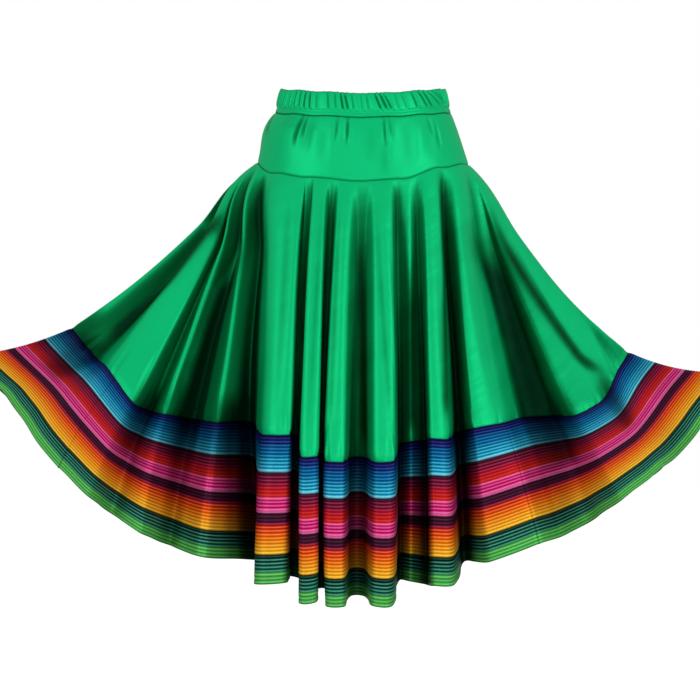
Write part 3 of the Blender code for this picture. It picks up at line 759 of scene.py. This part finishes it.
THREADS = [
    (0.000, screen_colour(60, 50, 150, 0.10)),
    (0.066, screen_colour(40, 130, 195, 0.5)),
    (0.130, screen_colour(45, 160, 205, 0.65)),
    (0.165, screen_colour(70, 190, 225, 0.8)),
    (0.250, screen_colour(105, 212, 238, 0.85)),
    (0.256, screen_colour(60, 20, 40, 0.0)),
    (0.272, screen_colour(165, 65, 100, 0.6)),
    (0.340, screen_colour(195, 70, 105, 0.45)),
    (0.370, screen_colour(225, 80, 60, 0.25)),
    (0.425, screen_colour(230, 90, 60, 0.25)),
    (0.445, screen_colour(250, 125, 185, 0.55)),
    (0.524, screen_colour(250, 125, 185, 0.55)),
    (0.530, screen_colour(95, 60, 75, 0.35)),
    (0.590, screen_colour(150, 45, 85, 0.3)),
    (0.618, screen_colour(252, 115, 60, 0.7)),
    (0.700, screen_colour(255, 165, 55, 0.7)),
    (0.800, screen_colour(255, 220, 100, 0.65)),
    (0.806, screen_colour(40, 90, 80, 0.0)),
    (0.830, screen_colour(75, 165, 140, 0.9)),
    (0.915, screen_colour(85, 175, 145, 0.9)),
    (0.925, screen_colour(150, 225, 135, 0.6)),
    (1.000, screen_colour(150, 225, 135, 0.4)),
]
THREAD_SPACING = 0.0048
THREAD_SHARPNESS = 2.5
THREAD_GAPS = screen_colour(198, 192, 194)
WHITE = screen_colour(255, 255, 255)


def woven_stripes(paint, along, down, streaks):
    """The border's dyes under its fine threads, darker between them."""
    share = down / BORDER_WIDTH
    dyes = paint.node("ShaderNodeValToRGB", {"stops": DYES}, {0: share + streaks * 0.003})
    threads = paint.node("ShaderNodeValToRGB", {"stops": THREADS}, {0: share})
    strength = Signal(paint, threads.socket.node.outputs["Alpha"])
    wander = paint.noise(along * 1.5, down * 90, 1.0)
    turn = (down + wander * 0.0003) * (2 * np.pi / THREAD_SPACING)
    wave_over = turn.maths("COSINE", turn) * 0.5 + 0.5
    line = wave_over**THREAD_SHARPNESS * (streaks * 0.3 + 0.9)
    between = paint.mix(wave_over, THREAD_GAPS, WHITE)
    woven = paint.mix((line * strength).clamped(), dyes, threads)
    return paint.mix(1.0, woven, between, "MULTIPLY")


def striped_satin(name, colours):
    """Satin woven in stripes along its length, painted with shade nearly black in its valleys."""
    paint = Paint(bpy.data.materials.new(name), "Principled BSDF")
    along, down = paint.cloth_metres()
    streaks = paint.noise(along * 6, down * 420, 2.0)
    woven = woven_stripes(paint, along, down, streaks)
    # The stripes in painted shadow deep in a fold, mixed in by the painted fold shade, which varies
    # a little along the yarn's streaks.
    shadow = (*colours.stripe_shadow, 1)
    dark = paint.mix(1.0, woven, shadow, "MULTIPLY")
    lit = (paint.attribute(SHADE_NAME) + streaks * 0.05).clamped()
    sockets = {
        "Base Color": paint.mix(lit, dark, woven),
        "Roughness": streaks * 0.05 + colours.roughness,
        "Metallic": colours.stripe_metallic,
        "Specular IOR Level": SATIN_SPECULAR,
        "Normal": weave_bump(paint, along, down),
    }
    paint.feed(paint.shader, sockets)
    return paint.block


# Meshes

# Painted shade: an even one inside the shells, and a deeper one where creases sink.
INSIDE_SHADE = 0.3
SUNK_DEPTH = 0.0022
SUNK_SHADE = 0.45


def shell_faces(rows, columns, closed):
    """The faces of a shell whose outer points come before its inner ones."""
    under = rows * columns
    numbers = np.arange(under).reshape(rows, columns)
    if closed:
        numbers = np.concatenate([numbers, numbers[:, :1]], axis=1)
    a = numbers[:-1, :-1].ravel()
    b = numbers[1:, :-1].ravel()
    c = numbers[1:, 1:].ravel()
    d = numbers[:-1, 1:].ravel()
    faces = [np.stack([a, b, c, d], 1), np.stack([a, d, c, b], 1) + under]
    edges = [numbers[0], numbers[-1][::-1]]
    if not closed:
        edges += [numbers[::-1, 0], numbers[:, -1]]
    for edge in edges:
        start = edge[:-1]
        end = edge[1:]
        faces.append(np.stack([start, end, end + under, start + under], 1))
    return np.concatenate(faces)


def shell_shade(grid, creases):
    """The shade of a shell's points: folds and sunk creases outside, even inside."""
    sunk = np.clip(-creases / SUNK_DEPTH, 0, 1)
    outside = fold_shade(grid) * (1 - SUNK_SHADE * sunk)
    inside = np.full(creases.shape, INSIDE_SHADE)
    return np.concatenate([outside.ravel(), inside.ravel()]).astype(np.float32)


def add_shell(name, grid, relief, thickness, closed, length, material):
    """A thin shell on a grid, with an outer side, an inner side and edges. Its texture
    coordinates are metres along and down the cloth, whose length down is given."""
    height = relief.creases + relief.seams
    outer = grid.middle + grid.normals * (height + thickness / 2)[..., None]
    inner = outer - grid.normals * thickness
    vertices = np.concatenate([outer.reshape(-1, 3), inner.reshape(-1, 3)])
    faces = shell_faces(*height.shape, closed)
    mesh = bpy.data.meshes.new(name)
    mesh.from_pydata(vertices.tolist(), [], faces.tolist())
    mesh.shade_smooth()
    down = np.broadcast_to(grid.down / grid.down[-1], height.shape) * length
    place = np.stack([grid.along, down], -1).reshape(-1, 2)
    corners = np.zeros(len(mesh.loops), dtype=np.int32)
    mesh.loops.foreach_get("vertex_index", corners)
    uv = mesh.uv_layers.new(name=UV_NAME)
    uv.data.foreach_set("uv", place[corners % height.size].ravel().astype(np.float32))
    shade = mesh.attributes.new(SHADE_NAME, "FLOAT", "POINT")
    shade.data.foreach_set("value", shell_shade(grid, relief.creases))
    mesh.materials.append(material)
    piece = bpy.data.objects.new(name, mesh)
    bpy.context.scene.collection.objects.link(piece)
    return piece


def dress(piece, node):
    """Hides the solid that a piece stands for and attaches the piece to the body."""
    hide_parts(node)
    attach(piece, BODY)


# Sizes and colours that a user may change


def metres(name, description, default):
    """A length."""
    return bpy.props.FloatProperty(
        name=name, description=description, default=default, unit="LENGTH", precision=5
    )


def colour(name, description, default):
    """A colour."""
    return bpy.props.FloatVectorProperty(
        name=name,
        description=description,
        default=default,
        size=3,
        min=0,
        max=1,
        subtype="COLOR",
    )


def factor(name, description, default):
    """A share from 0 to 1."""
    return bpy.props.FloatProperty(
        name=name, description=description, default=default, min=0, max=1, subtype="FACTOR"
    )


def power(name, description, default):
    """A light's power."""
    return bpy.props.FloatProperty(
        name=name, description=description, default=default, min=0, unit="POWER"
    )


class SkirtForm(bpy.types.PropertyGroup):
    """Sizes of the shells and of their fine relief."""

    thickness: metres("Thickness", "How thick each shell is", 0.001)
    seam_depth: metres("Seam depth", "How far the cloth dips at a seam", 0.0012)
    tuck_depth: metres("Tuck depth", "How far the border's seam is drawn in", 0.0016)
    pucker_depth: metres("Pucker depth", "How deep the border seam's puckers are", 0.0014)
    gather_depth: metres("Gather depth", "How deep the waistband's gathers are", 0.0026)
    hem_ripple: metres("Hem ripple", "How far the hem strays in and out", 0.0016)


class SkirtColours(bpy.types.PropertyGroup):
    """Colours and gloss of the satin, with its lit green and the greens of its painted shade."""

    green: colour("Green", "The satin where light falls on it", screen_colour(12, 192, 118)[:3])
    # Painted shade: the satin's green on a fold's flank and along the seams, and deep in a fold.
    half_shade_green: colour("Mid green", "The satin on a fold's flank", screen_colour(0, 110, 58)[:3])
    deep_shade_green: colour("Deep green", "The satin deep in a fold", screen_colour(0, 50, 26)[:3])
    stripe_shadow: colour(
        "Stripe shadow", "What the stripes are multiplied by deep in a fold", (0.07, 0.06, 0.07)
    )
    roughness: factor("Roughness", "How dull the satin is", 0.45)
    metallic: factor("Metallic", "How much the green's gloss takes its colour", 0.30)
    stripe_metallic: factor("Stripe metallic", "The same for the stripes", 0.2)


class SkirtStudio(bpy.types.PropertyGroup):
    """The floor, the lights and the camera."""

    floor_height: metres("Floor height", "Where the floor lies", -1.0)
    left_power: power("Left light", "Power of the left softbox", 31)
    right_power: power("Right light", "Power of the right softbox", 38)
    front_power: power("Front light", "Power of the front softbox", 20)
    ambient: factor("Ambient", "Light from all round", 0.42)


# The waistband

# A gather's trough on the casing: its directions at the top and at the stitching, in
# degrees, and its depth as a share of the full one.
Gather = namedtuple("Gather", "top bottom depth")
FRONT_GATHERS = [
    Gather(199.7, 198.0, 0.7),
    Gather(206.6, 205.0, 0.9),
    Gather(212.5, 211.0, 0.9),
    Gather(218.4, 217.5, 1.0),
    Gather(222.7, 223.0, 0.9),
    Gather(227.4, 227.5, 1.0),
    Gather(231.2, 232.5, 0.8),
    Gather(236.5, 238.0, 0.4),
    Gather(244.8, 247.0, 0.6),
    Gather(250.0, 252.0, 0.6),
    Gather(254.1, 257.0, 1.0),
    Gather(257.0, 260.4, 0.9),
    Gather(261.6, 263.9, 0.6),
    Gather(267.8, 269.5, 0.5),
    Gather(271.7, 273.5, 0.6),
    Gather(277.4, 281.9, 1.0),
    Gather(280.8, 286.0, 1.0),
    Gather(283.2, 289.5, 0.8),
    Gather(291.3, 294.0, 0.4),
    Gather(296.1, 300.0, 0.4),
    Gather(304.1, 308.3, 0.8),
    Gather(309.7, 317.5, 1.0),
    Gather(314.3, 322.6, 1.0),
    Gather(319.3, 333.5, 0.9),
    Gather(324.8, 342.5, 0.9),
    Gather(329.6, 343.0, 0.7),
]
BACK_GATHERS = 34
BACK_MARGIN = 5
GATHER_SEED = 7
GATHER_WIDTH = 0.75
GATHER_RIDGE = 1.5
RIDGE_SHARE = 0.6
BAND_COLUMNS = 1000
BAND_ROWS = 22
CASING_PUFF = 0.0014
CASING_SEAM = 0.80


def all_gathers():
    """The front's gathers, and as uneven ones round the back."""
    random = np.random.default_rng(GATHER_SEED)
    first = FRONT_GATHERS[-1].top + BACK_MARGIN
    last = FRONT_GATHERS[0].top + 360 - BACK_MARGIN
    even = np.linspace(first, last, BACK_GATHERS)
    tops = even + random.uniform(-1.8, 1.8, BACK_GATHERS)
    slants = random.uniform(-4, 5, BACK_GATHERS)
    depths = random.uniform(0.4, 1, BACK_GATHERS)
    back = [Gather(top, top + slant, depth) for top, slant, depth in zip(tops, slants, depths)]
    return FRONT_GATHERS + back


def band_relief(grid, directions, form):
    """A puffed casing, cut by slanting gathers down to its line of stitching."""
    share = grid.levels[:, None] / CASING_SEAM
    casing = CASING_PUFF * np.sin(np.pi * np.clip(share, 0, 1)) ** 0.5
    gathers = np.zeros(grid.along.shape)
    fade = ease((1 - share) / 0.25) * (0.6 + 0.4 * ease(share / 0.3))
    for gather in all_gathers():
        line = gather.top + (gather.bottom - gather.top) * share
        apart = (directions[None, :] - line + 180) % 360 - 180
        trough = np.exp(-((apart / GATHER_WIDTH) ** 2))
        ridge = np.exp(-(((apart - GATHER_RIDGE) / GATHER_WIDTH) ** 2))
        cut = trough - RIDGE_SHARE * ridge
        gathers -= form.gather_depth * gather.depth * fade * cut
    stitching = np.abs(grid.down - grid.down[-1] * CASING_SEAM)
    return Relief(gathers, casing + groove(stitching, form.seam_depth, 0.0016))


class SKIRT_OT_add_waistband(bpy.types.Operator):
    """Add the elastic waistband: a puffed casing with slanting gathers"""

    bl_idname = "skirt.add_waistband"
    bl_label = "Add Waistband"

    def execute(self, context):
        form = context.scene.skirt_form
        colours = context.scene.skirt_colours
        directions = FOLDS[0].direction + np.arange(BAND_COLUMNS) * 360 / BAND_COLUMNS
        grid = make_grid(place_at(directions), np.linspace(0, 1, BAND_ROWS + 1))
        relief = band_relief(grid, directions, form)
        material = green_satin("waistband_satin", BAND_HEIGHT, 1, colours)
        args = grid, relief, form.thickness, True, BAND_HEIGHT, material
        piece = add_shell("waistband_casing", *args)
        dress(piece, "waistband")
        return {"FINISHED"}


# The yoke

YOKE_LENGTH = 0.09
YOKE_ROWS = 40
YOKE_CREASES = [
    Crease(9.63, 0.98, 9.53, 1.52, 0.0035, 0.0022),
    Crease(9.80, 0.98, 9.80, 1.37, 0.0030, 0.0014),
    Crease(10.43, 1.00, 10.23, 1.62, 0.0100, 0.0012),
    Crease(15.33, 0.98, 15.47, 1.42, 0.0028, 0.0018),
    Crease(16.27, 0.98, 17.07, 1.36, 0.0028, -0.0010),
    Crease(17.40, 0.97, 17.43, 1.46, 0.0030, 0.0022),
    Crease(21.90, 0.98, 21.87, 1.50, 0.0032, 0.0020),
    Crease(22.47, 0.98, 22.70, 1.36, 0.0030, 0.0014),
    Crease(21.87, 1.40, 21.67, 1.95, 0.0080, 0.0008),
    Crease(27.70, 1.02, 27.73, 1.41, 0.0035, 0.0010),
    Crease(28.50, 1.10, 28.30, 1.66, 0.0035, 0.0012),
    Crease(26.40, 1.10, 25.97, 1.85, 0.0090, -0.0012),
    Crease(24.33, 1.05, 24.10, 1.85, 0.0100, 0.0008),
    Crease(20.53, 1.05, 20.40, 1.75, 0.0100, 0.0006),
    Crease(13.40, 1.08, 13.53, 1.75, 0.0090, 0.0007),
    Crease(5.63, 1.00, 6.90, 1.45, 0.0080, 0.0014),
    Crease(39.20, 0.98, 39.00, 1.40, 0.0035, 0.0016),
    Crease(41.10, 0.98, 41.40, 1.62, 0.0032, 0.0020),
    Crease(41.90, 1.00, 42.40, 1.45, 0.0030, -0.0010),
    Crease(44.30, 1.05, 44.20, 1.80, 0.0095, 0.0009),
    Crease(46.00, 0.98, 45.80, 1.48, 0.0032, 0.0019),
    Crease(48.60, 0.98, 48.90, 1.38, 0.0028, 0.0015),
    Crease(50.00, 1.08, 49.80, 1.85, 0.0100, -0.0010),
    Crease(51.80, 0.98, 51.60, 1.55, 0.0034, 0.0021),
    Crease(54.20, 1.02, 54.40, 1.40, 0.0032, 0.0012),
    Crease(55.60, 1.05, 55.20, 1.75, 0.0090, 0.0010),
    Crease(57.10, 0.98, 57.30, 1.50, 0.0034, 0.0018),
    Crease(59.00, 1.00, 59.20, 1.42, 0.0036, 0.0013),
]


def yoke_relief(grid, form):
    """Creases below the gathers, and the grooves of the two seams."""
    seams = groove(grid.down, form.seam_depth, 0.0020)
    seams += groove(grid.down[-1] - grid.down, form.seam_depth, 0.0022)
    return Relief(crease_relief(YOKE_CREASES, grid), seams)


class SKIRT_OT_add_yoke(bpy.types.Operator):
    """Add the hip yoke's front and back, with soft creases below the gathers"""

    bl_idname = "skirt.add_yoke"
    bl_label = "Add Yoke"

    def execute(self, context):
        form = context.scene.skirt_form
        material = green_satin("yoke_satin", YOKE_LENGTH, 1, context.scene.skirt_colours)
        for name, start, end, flat in (
            ("yoke_front", LEFT_SIDE, RIGHT_SIDE, (0.47, 0.115)),
            ("yoke_back", RIGHT_SIDE, FOLD_COUNT, (0.44, 0.105)),
        ):
            grid = panel_grid(start, end, rows_between(1, 2, YOKE_ROWS, 0.6), 400)
            relief = yoke_relief(grid, form)
            args = grid, relief, form.thickness, False, YOKE_LENGTH, material
            piece = add_shell(name + "_cloth", *args)
            dress(piece, name)
        return {"FINISHED"}


# The skirt and its seam to the border

SKIRT_ROWS = 56
SKIRT_COLUMNS = 800
TUCK_WIDTH = 0.006
PUCKER_SPACING = 0.0085
PUCKER_WIDTH = 0.0040
PUCKER_REACH = 0.024
PUCKER_SEED = 3

# Soft creases on the broad faces, then the longer puckers of the border's seam.
SKIRT_CREASES = [
    Crease(9.70, 2.05, 9.50, 2.64, 0.0070, 0.0015),
    Crease(10.03, 2.03, 9.63, 2.62, 0.0070, -0.0014),
    Crease(13.83, 2.05, 13.43, 2.62, 0.0050, 0.0013),
    Crease(17.23, 2.03, 17.30, 2.68, 0.0055, 0.0016),
    Crease(17.60, 2.03, 17.73, 2.64, 0.0055, -0.0013),
    Crease(21.10, 2.05, 21.80, 2.66, 0.0050, 0.0013),
    Crease(21.53, 2.10, 22.37, 2.67, 0.0040, -0.0010),
    Crease(26.60, 2.05, 26.83, 2.69, 0.0070, 0.0009),
    Crease(29.17, 2.15, 29.63, 2.66, 0.0090, -0.0012),
    Crease(5.43, 2.20, 4.67, 2.69, 0.0080, -0.0016),
    Crease(4.07, 2.30, 5.30, 2.62, 0.0100, 0.0012),
    Crease(38.40, 2.12, 38.60, 2.60, 0.0120, 0.0014),
    Crease(41.60, 2.08, 41.50, 2.66, 0.0080, 0.0014),
    Crease(44.50, 2.05, 44.40, 2.58, 0.0075, -0.0013),
    Crease(45.40, 2.06, 45.60, 2.64, 0.0060, 0.0012),
    Crease(47.50, 2.04, 47.40, 2.66, 0.0065, 0.0014),
    Crease(50.60, 2.05, 50.40, 2.60, 0.0070, -0.0012),
    Crease(53.40, 2.06, 53.60, 2.66, 0.0075, 0.0015),
    Crease(56.50, 2.08, 56.40, 2.62, 0.0090, 0.0013),
    Crease(59.50, 2.10, 59.30, 2.64, 0.0110, -0.0014),
    Crease(27.17, 2.59, 27.27, 2.70, 0.0030, -0.0014),
    Crease(28.13, 2.58, 28.27, 2.71, 0.0034, -0.0016),
    Crease(28.53, 2.61, 28.67, 2.70, 0.0030, -0.0014),
    Crease(28.87, 2.62, 29.00, 2.70, 0.0028, -0.0012),
    Crease(17.07, 2.60, 16.83, 2.71, 0.0032, 0.0014),
    Crease(17.33, 2.58, 17.47, 2.71, 0.0032, -0.0016),
    Crease(17.63, 2.61, 17.60, 2.71, 0.0028, -0.0014),
    Crease(18.37, 2.62, 18.50, 2.71, 0.0026, -0.0014),
    Crease(19.17, 2.63, 19.23, 2.71, 0.0026, -0.0012),
    Crease(21.47, 2.62, 21.53, 2.71, 0.0028, -0.0014),
    Crease(21.77, 2.61, 21.93, 2.71, 0.0028, -0.0014),
    Crease(9.70, 2.62, 9.73, 2.71, 0.0028, -0.0016),
    Crease(9.93, 2.63, 10.00, 2.71, 0.0026, -0.0014),
    Crease(11.30, 2.62, 11.43, 2.71, 0.0028, -0.0014),
    Crease(2.14, 2.58, 2.14, 2.70, 0.0038, -0.0018),
    Crease(2.80, 2.53, 2.86, 2.70, 0.0042, -0.0018),
    Crease(3.43, 2.58, 3.37, 2.70, 0.0034, -0.0014),
    Crease(3.97, 2.56, 3.83, 2.71, 0.0036, -0.0012),
    Crease(0.60, 2.62, 0.57, 2.71, 0.0038, -0.0018),
    Crease(0.73, 2.62, 0.73, 2.71, 0.0034, -0.0014),
    Crease(35.37, 2.54, 35.00, 2.68, 0.0050, 0.0014),
    Crease(35.57, 2.55, 35.23, 2.68, 0.0045, 0.0014),
    Crease(35.00, 2.56, 34.54, 2.69, 0.0050, -0.0012),
    Crease(35.77, 2.61, 35.67, 2.70, 0.0040, -0.0016),
]


def border_puckers(form):
    """The puckers of the seam between skirt and border, which both pieces share."""
    level = 2 + BORDER_SEAM
    sizes = PUCKER_SPACING, PUCKER_WIDTH, PUCKER_REACH, form.pucker_depth
    return seam_puckers(level, *sizes, PUCKER_SEED)


def skirt_relief(grid, form):
    """Creases, puckers above the border's seam, and the grooves of the two seams."""
    from_border = grid.down[-1] - grid.down
    seams = groove(grid.down, form.seam_depth, 0.0022)
    seams += groove(from_border, form.tuck_depth, TUCK_WIDTH)
    seams += pucker_relief(border_puckers(form), grid.places, from_border.mean(1))
    return Relief(crease_relief(SKIRT_CREASES, grid), seams)


class SKIRT_OT_add_skirt(bpy.types.Operator):
    """Add the circle skirt's front and back, down to the border"""

    bl_idname = "skirt.add_skirt"
    bl_label = "Add Skirt"

    def execute(self, context):
        form = context.scene.skirt_form
        material = green_satin("skirt_satin", SKIRT_LENGTH, 0, context.scene.skirt_colours)
        levels = rows_between(2, 2 + BORDER_SEAM, SKIRT_ROWS, 0.7)
        for name, start, end in (
            ("skirt_front", LEFT_SIDE, RIGHT_SIDE),
            ("skirt_back", RIGHT_SIDE, FOLD_COUNT),
        ):
            grid = panel_grid(start, end, levels, SKIRT_COLUMNS)
            relief = skirt_relief(grid, form)
            args = grid, relief, form.thickness, False, SKIRT_LENGTH, material
            piece = add_shell(name + "_cloth", *args)
            dress(piece, name)
        return {"FINISHED"}


# The border

BORDER_ROWS = 44
RING_RADIUS = 0.56
BORDER_TUCK_WIDTH = 0.004
BORDER_PUCKER_REACH = 0.45
JOIN_DEPTH = 0.0008
HEM_STITCHING = 0.006
HEM_RIPPLE_REACH = 0.035


def border_relief(grid, form):
    """Puckers below the seam, and a hem that ripples a little and is stitched up."""
    from_hem = grid.down[-1] - grid.down
    seams = groove(grid.down, form.tuck_depth, BORDER_TUCK_WIDTH)
    seams += groove(grid.along, JOIN_DEPTH, 0.002)
    seams += groove(grid.along[:, -1:] - grid.along, JOIN_DEPTH, 0.002)
    seams += groove(np.abs(from_hem - HEM_STITCHING), JOIN_DEPTH, 0.0016)
    puckers = border_puckers(form)
    seams += pucker_relief(puckers, grid.places, grid.down.mean(1), BORDER_PUCKER_REACH)
    along = grid.along[-1]
    ripple = np.sin(along * 97) * 0.6 + np.sin(along * 41 + 2) * 0.4
    seams += form.hem_ripple * ripple * np.exp(-((from_hem / HEM_RIPPLE_REACH) ** 2))
    return Relief(crease_relief(SKIRT_CREASES, grid), seams)


def ring_cut(seam_length):
    """The flat size and area of a length of the border, cut as part of a ring."""
    outer = RING_RADIUS + BORDER_WIDTH
    half = seam_length / RING_RADIUS / 2
    width = 2 * outer * np.sin(min(half, np.pi / 2))
    height = outer - RING_RADIUS * np.cos(half)
    area = half * (outer**2 - RING_RADIUS**2)
    return (float(width), float(height)), float(area)


class SKIRT_OT_add_border(bpy.types.Operator):
    """Add the striped border's three lengths, joined end to end"""

    bl_idname = "skirt.add_border"
    bl_label = "Add Border"

    def execute(self, context):
        form = context.scene.skirt_form
        material = striped_satin("striped_satin", context.scene.skirt_colours)
        levels = rows_between(2 + BORDER_SEAM, 3, BORDER_ROWS, 0.5)
        for name, start, end, columns in (
            ("border_front", LEFT_JOIN, RIGHT_JOIN, 700),
            ("border_right", RIGHT_JOIN, BACK_JOIN, 480),
            ("border_left", BACK_JOIN, LEFT_JOIN + FOLD_COUNT, 480),
        ):
            grid = panel_grid(start, end, levels, columns)
            relief = border_relief(grid, form)
            args = grid, relief, form.thickness, False, BORDER_WIDTH, material
            piece = add_shell(name + "_cloth", *args)
            flat, area = ring_cut(grid.along[0, -1])
            dress(piece, name)
        return {"FINISHED"}


# The studio

CAMERA_PLACE = (-0.0195, -3.0, -0.3735)
LENS = 36 * 3.0 / 1.05
LIGHT_TARGET = (0, 0, -0.35)
FLOOR_HALF = 6.0
FLOOR_GLOW = 0.96
Softbox = namedtuple("Softbox", "name place size power")


def add_softbox(box):
    """A rectangular light that faces the skirt."""
    light = bpy.data.lights.new(box.name, "AREA")
    light.shape = "RECTANGLE"
    light.size, light.size_y = box.size
    light.energy = box.power
    lamp = bpy.data.objects.new(box.name, light)
    lamp.location = box.place
    aim = np.array(LIGHT_TARGET) - np.array(box.place)
    tilt = np.arctan2(np.hypot(aim[0], aim[1]), -aim[2])
    lamp.rotation_euler = (tilt, 0, np.arctan2(-aim[0], aim[1]))
    bpy.context.scene.collection.objects.link(lamp)


def add_world(ambient):
    """White where it is seen, and a softer grey for the light it gives."""
    world = bpy.data.worlds.new("studio")
    paint = Paint(world, "Background")
    seen = paint.node("ShaderNodeLightPath", {}, {}, "Is Camera Ray")
    paint.feed(paint.shader, {"Color": (1, 1, 1, 1), "Strength": seen * (1 - ambient) + ambient})
    bpy.context.scene.world = world


def add_floor(height):
    """A plain pale floor that lights nothing."""
    paint = Paint(bpy.data.materials.new("floor"), "Principled BSDF")
    sockets = {
        "Base Color": (0.3, 0.3, 0.3, 1),
        "Roughness": 0.9,
        "Specular IOR Level": 0.0,
        "Emission Color": (1, 1, 1, 1),
        "Emission Strength": FLOOR_GLOW,
    }
    paint.feed(paint.shader, sockets)
    mesh = bpy.data.meshes.new("floor")
    sides = (-FLOOR_HALF, FLOOR_HALF)
    corners = [(x, y, 0) for x in sides for y in sides]
    mesh.from_pydata(corners, [], [(0, 2, 3, 1)])
    mesh.materials.append(paint.block)
    floor = bpy.data.objects.new("floor", mesh)
    floor.location.z = height
    floor.visible_diffuse = False
    floor.visible_glossy = False
    bpy.context.scene.collection.objects.link(floor)


def add_camera():
    """The photograph's camera, level and straight on."""
    data = bpy.data.cameras.new("camera")
    data.lens = LENS
    camera = bpy.data.objects.new("camera", data)
    camera.location = CAMERA_PLACE
    camera.rotation_euler = (np.pi / 2, 0, 0)
    bpy.context.scene.collection.objects.link(camera)
    bpy.context.scene.camera = camera


class SKIRT_OT_add_stage(bpy.types.Operator):
    """Add the pale floor, the softboxes, the white surroundings and the camera"""

    bl_idname = "skirt.add_stage"
    bl_label = "Add Stage"

    def execute(self, context):
        studio = context.scene.skirt_studio
        for box in (
            Softbox("left_softbox", (-2.3, -1.9, 0.7), (1.0, 1.8), studio.left_power),
            Softbox("right_softbox", (2.3, -1.9, 0.7), (1.0, 1.8), studio.right_power),
            Softbox("front_softbox", (0.2, -3.4, 0.5), (1.6, 1.0), studio.front_power),
        ):
            add_softbox(box)
        add_world(studio.ambient)
        add_floor(studio.floor_height)
        add_camera()
        context.scene.view_settings.view_transform = "Standard"
        return {"FINISHED"}


class SKIRT_PT_panel(bpy.types.Panel):
    """Lists the skirt's pieces and its settings"""

    bl_idname = "SKIRT_PT_panel"
    bl_label = "Flamenco Skirt"
    bl_space_type = "VIEW_3D"
    bl_region_type = "UI"
    bl_category = "Skirt"

    def draw(self, context):
        layout = self.layout
        for operator in OPERATORS:
            layout.operator(operator.bl_idname)
        for group in GROUPS:
            settings = getattr(context.scene, group)
            for name in settings.__annotations__:
                layout.prop(settings, name)


OPERATORS = (
    SKIRT_OT_add_waistband,
    SKIRT_OT_add_yoke,
    SKIRT_OT_add_skirt,
    SKIRT_OT_add_border,
    SKIRT_OT_add_stage,
)
GROUPS = {
    "skirt_form": SkirtForm,
    "skirt_colours": SkirtColours,
    "skirt_studio": SkirtStudio,
}
CLASSES = (*GROUPS.values(), *OPERATORS, SKIRT_PT_panel)


def register():
    for cls in CLASSES:
        bpy.utils.register_class(cls)
    for name, group in GROUPS.items():
        setattr(bpy.types.Scene, name, bpy.props.PointerProperty(type=group))


def unregister():
    for name in GROUPS:
        delattr(bpy.types.Scene, name)
    for cls in reversed(CLASSES):
        bpy.utils.unregister_class(cls)


def main():
    register()
    bpy.ops.skirt.add_waistband()
    bpy.ops.skirt.add_yoke()
    bpy.ops.skirt.add_skirt()
    bpy.ops.skirt.add_border()
    bpy.ops.skirt.add_stage()


if __name__ == "__main__":
    main()
